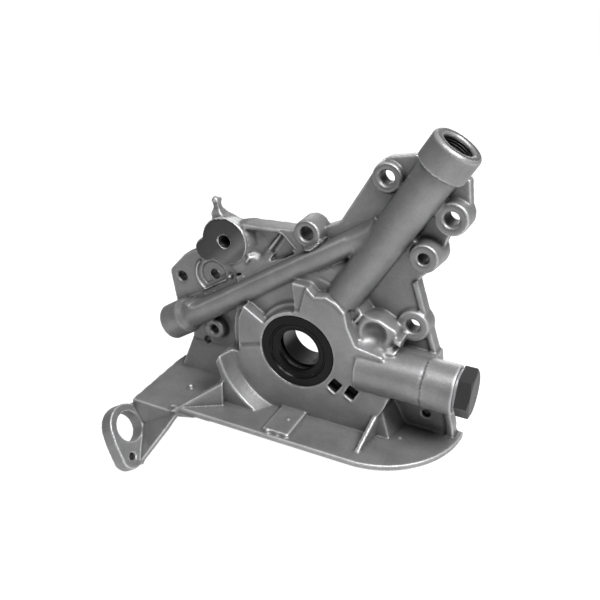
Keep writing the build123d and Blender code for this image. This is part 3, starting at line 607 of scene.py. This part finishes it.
# moves the casting's vertices and returns how far each one is softened
def soften(mesh):
    places = np.empty(len(mesh.vertices) * 3)
    mesh.vertices.foreach_get("co", places)
    places = places.reshape(-1, 3) / MM
    x, f, z = places[:, 0], -places[:, 1], places[:, 2]
    run = (x - GALLERY[0]) * GALLERY_COS + (z - GALLERY[1]) * GALLERY_SIN
    above = (z - GALLERY[1]) * GALLERY_COS - (x - GALLERY[0]) * GALLERY_SIN
    off_pad = away(x, z, PAD) - 17.2
    off_tube = ((x - TUBE[0]) * TUBE_RUN[1] - (z - TUBE[1]) * TUBE_RUN[0]) / TUBE_LENGTH
    # one wide shallow pocket with a thin web, left of the upper boss
    depth = np.minimum(np.minimum(edge_distance(x, z, POCKET), off_pad), above - GALLERY_R)
    web = np.abs((x + 34) * 0.831 - (z - 50) * 0.556)
    floor = np.maximum(POCKET_BRIM - 1.5 * np.maximum(depth, 0), POCKET_FLOOR)
    floor = np.maximum(floor, WEB_TOP - 1.6 * web)
    f = np.where((depth > 0) & (f > 8), np.minimum(f, floor), f)
    # upper side of the gallery stands steep on the plate
    level = np.where(x < -52, LEVEL_LEFT, np.where(x < 5, LEVEL_MIDDLE, LEVEL_RIGHT))
    brink = 5.6 + 4.4 * (1 - smooth_step(run, 19, 33))
    reach = 10.8 - 2.2 * (run - 36) / 138
    free = (away(x, z, UPPER_BOSS) > 9.4) & (off_pad > -0.4) & (off_tube < -12.2)
    beside = (run > 19) & free & (f > 6) & (above < reach)
    pressed = beside & (above > brink) & (f > level)
    height = np.clip((f - level) / (GALLERY_TOP - level), 0, 1)
    shift = np.where(pressed, (brink - above) * height, 0)
    x = x - GALLERY_SIN * shift
    z = z + GALLERY_COS * shift
    f = np.where(pressed, level, f)
    wall = level + (brink - above) / 0.7 * 14
    f = np.where(beside & (above > brink - 0.7) & (above <= brink), np.minimum(f, wall), f)
    # round foot of the boss with the dish
    ring = away(x, z, DISH)
    foot = DISH_BRIM - 1.25 * (ring - DISH_BRIM_R)
    foot = foot + 3 * np.maximum(16.2 - off_tube, 0) + 7 * np.maximum(14.5 - z, 0)
    off_plateau = ((x - 33.4) * 10.2 + (z - 25.3) * 5.2) / 11.45
    foot = foot + 8 * np.maximum(2.2 - off_plateau, 0)
    foot = np.maximum(foot + 4 * np.maximum(12 - away(x, z, CORNER_BOSS), 0), PLATE_TOP)
    around = (ring > DISH_BRIM_R) & (ring < 24) & (x > 34) & (z > 3) & (f > 8.5) & (off_tube > 12.6)
    f = np.where(around, np.minimum(f, foot), f)
    # front edge of the shelf runs gently into the arm
    under = (z < SHELF_Z - 0.1) & (x > -79) & (x < -44)
    z = np.where(under, SHELF_Z + (z - SHELF_Z) * (1 - smooth_step(x, -79, -56)), z)
    # slim neck and bulb of the horn
    horn = (z > 73) & (x < -60) & (x > -80)
    neck = smooth_step(z, 73.5, 78) - 0.45 * smooth_step(z, 79.5, 82.5)
    middle = -68 - 3 * (z - 68) / 15.2
    x = np.where(horn, middle + (x - middle) * (1 - 0.42 * neck), x)
    f = np.where(horn, HORN_F + (f - HORN_F) * (1 - 0.5 * neck), f)
    places = np.stack([x, -f, z], axis=1) * MM
    mesh.vertices.foreach_set("co", places.ravel())
    blend = np.zeros(len(x))
    for (x0, f0, z0), radius, share in SOFT_SPOTS:
        far = np.sqrt((x - x0) ** 2 + (f - f0) ** 2 + (z - z0) ** 2)
        blend = np.maximum(blend, share * (1 - smooth_step(far, radius * 0.7, radius)))
    return np.where(beside & (above > 2.5) & (above < 6.5), np.maximum(blend, 0.2), blend)


def smooth_modifier(thing, passes):
    smooth = thing.modifiers.new("smooth", "SMOOTH")
    smooth.factor = 0.5
    smooth.iterations = passes
    return smooth


# mesh of the object with its modifiers applied; the object goes
def applied(thing):
    bpy.context.view_layer.update()
    made = bpy.data.meshes.new_from_object(thing.evaluated_get(bpy.context.evaluated_depsgraph_get()))
    old = thing.data
    bpy.data.objects.remove(thing)
    bpy.data.meshes.remove(old)
    return made


def casting():
    rough = new_object("housing_rough", nodes["pump_housing"].data.copy())
    details = front_details()
    work = bmesh.new()
    work.from_mesh(rough.data)
    work.from_mesh(details)
    work.to_mesh(rough.data)
    work.free()
    bpy.data.meshes.remove(details)
    remesh = rough.modifiers.new("remesh", "REMESH")
    remesh.mode = "VOXEL"
    remesh.voxel_size = VOXEL
    smooth_modifier(rough, EVEN_PASSES)
    made = applied(rough)
    blend = soften(made)
    soft = new_object("housing_soft", made)
    group = soft.vertex_groups.new(name="soft")
    for level in range(1, 11):
        chosen = np.flatnonzero(np.round(blend * 10) == level)
        if len(chosen):
            group.add(chosen.tolist(), level / 10, "REPLACE")
    smooth_modifier(soft, SOFT_PASSES).vertex_group = "soft"
    final = applied(soft)
    final.name = "housing_casting"
    final.shade_smooth()
    final.materials.clear()
    for material in (cast, machined, pad_wear_and_painted_sheen, bore_painted_shade):
        final.materials.append(material)
    paint_machined_and_shade(final)
    return new_object("housing_casting", final)


# Threads as helical ridges inside the tapped holes

# piece, mount, crest radius, pitch, depth and distance from the mouth, in millimetres
THREADS = (("port_thread", "oil_port", 8.55, 1.5, 12, 1.0),
           ("stud_thread", "stud_hole", 3.75, 1.25, 11, 1.5))
THREAD_SUNK = 0.3
THREAD_HALF = 0.46
STEPS_PER_TURN = 48


def thread(name, mount, crest, pitch, depth, inset):
    along = Vector(mount["axis"]).normalized()
    side = along.orthogonal().normalized()
    other = along.cross(side)
    origin = Vector(mount["pos_m"]) + along * (mount["dims"]["length_mm"] / 2 - inset) * MM
    root = mount["dims"]["r_mm"] + THREAD_SUNK
    steps = int(depth / pitch * STEPS_PER_TURN)
    verts = []
    for i in range(steps + 1):
        angle = 2 * math.pi * i / STEPS_PER_TURN
        out = side * math.cos(angle) + other * math.sin(angle)
        for r, shift in ((root, -THREAD_HALF), (crest, 0.0), (root, THREAD_HALF)):
            verts.append(origin + out * (r * MM) - along * (pitch * (i / STEPS_PER_TURN + shift) * MM))
    faces = [(0, 1, 2), (3 * steps + 2, 3 * steps + 1, 3 * steps)]
    for i in range(steps):
        for j in range(3):
            k = (j + 1) % 3
            faces.append((3 * i + j, 3 * i + 3 + j, 3 * i + 3 + k, 3 * i + k))
    mesh = bpy.data.meshes.new(name)
    mesh.from_pydata(verts, [], faces)
    outward(mesh)
    mesh.materials.append(thread_painted_shade)
    mesh.shade_smooth()
    piece = new_object(name, mesh)
    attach(piece, "housing")


# Relief spring, copied and fixed to the housing in place of the imported one

def spring():
    mesh = nodes["relief_spring"].data.copy()
    mesh.name = "spring_coils"
    piece = new_object("spring_coils", mesh)
    piece.matrix_world = nodes["relief_spring"].matrix_world
    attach(piece, "housing")
    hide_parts("relief_spring")
    bpy.context.view_layer.update()
    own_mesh(piece)


bpy.context.scene.view_settings.view_transform = "Standard"
make_camera()
make_world()
make_floor()
for lamp in LAMPS:
    area_light(*lamp)

body = casting()
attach(body, "housing")
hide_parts("pump_housing")
for piece_name, mount_name, *sizes in THREADS:
    thread(piece_name, mounts[mount_name], *sizes)
spring()
